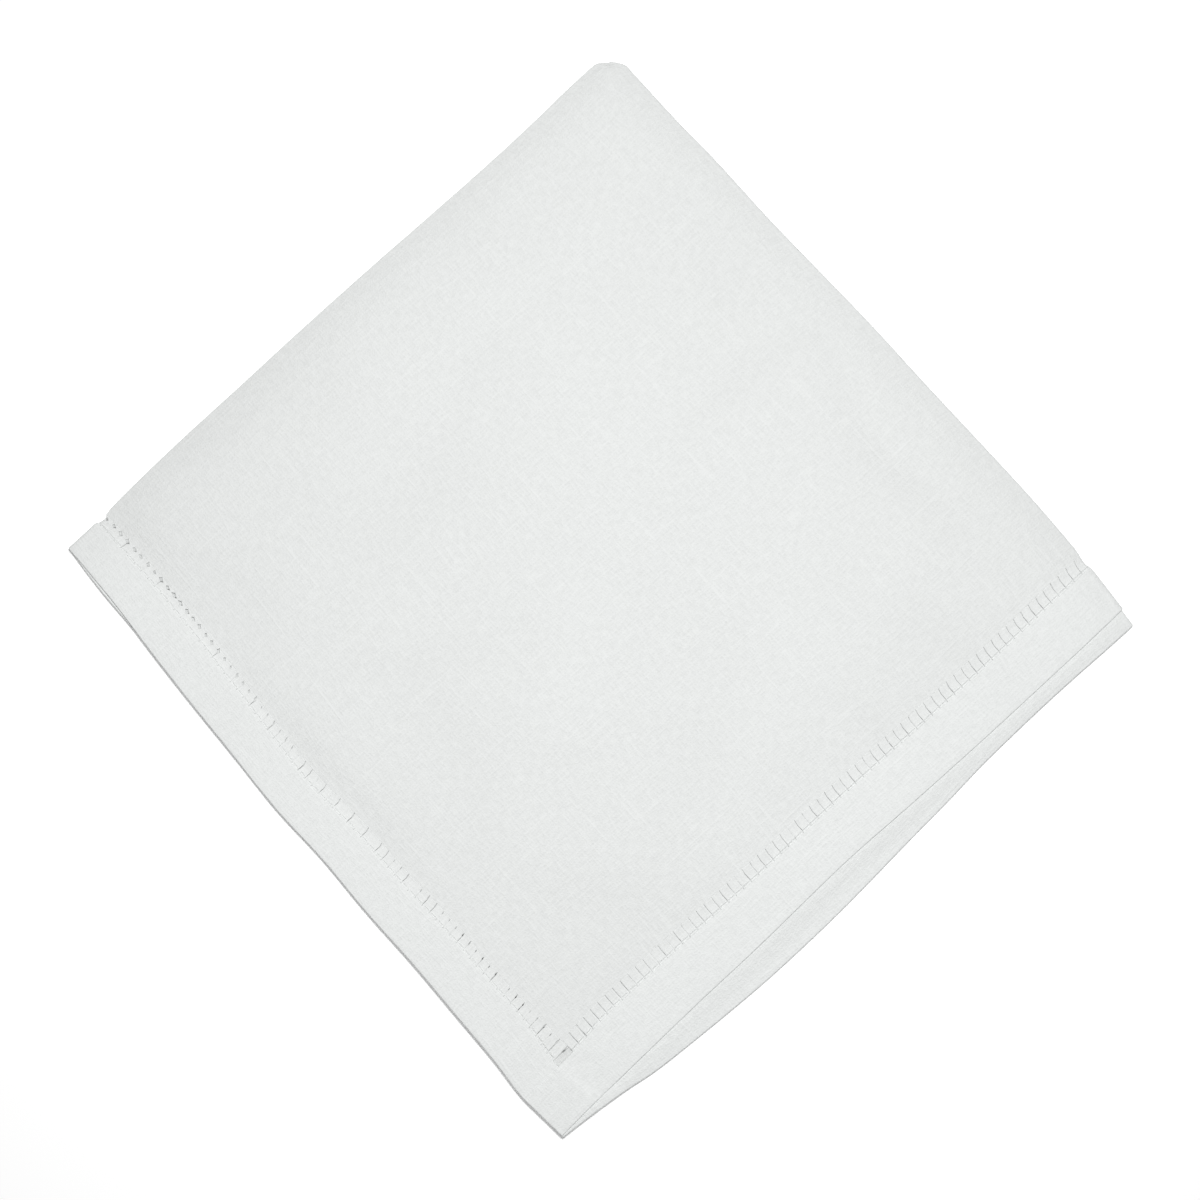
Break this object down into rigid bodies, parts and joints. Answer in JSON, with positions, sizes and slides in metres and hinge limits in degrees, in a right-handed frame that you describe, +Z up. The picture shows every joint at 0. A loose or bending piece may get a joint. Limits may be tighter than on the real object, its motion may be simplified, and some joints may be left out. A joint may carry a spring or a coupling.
{
  "type": "folded linen handkerchief",
  "caption": "Square linen handkerchief with a hemstitched hem, folded in quarters and lying flat, with two folded sides and two sides of open hem edges.",
  "frame": {"origin": "on the surface that the cloth lies on, under the middle of the folded cloth's outline", "axes": "+Z up, through the layers. +X from the open hem edges on the left to the fold on the right. +Y from the open hem edges in front to the fold at the back."},
  "size_m": [0.2338, 0.24, 0.0059],
  "materials": {
    "white_linen": "bleached plain-weave linen, matt, with fine uneven threads"
  },
  "bodies": {
    "root": {"handkerchief": "white_linen"}
  },
  "joints": []
}
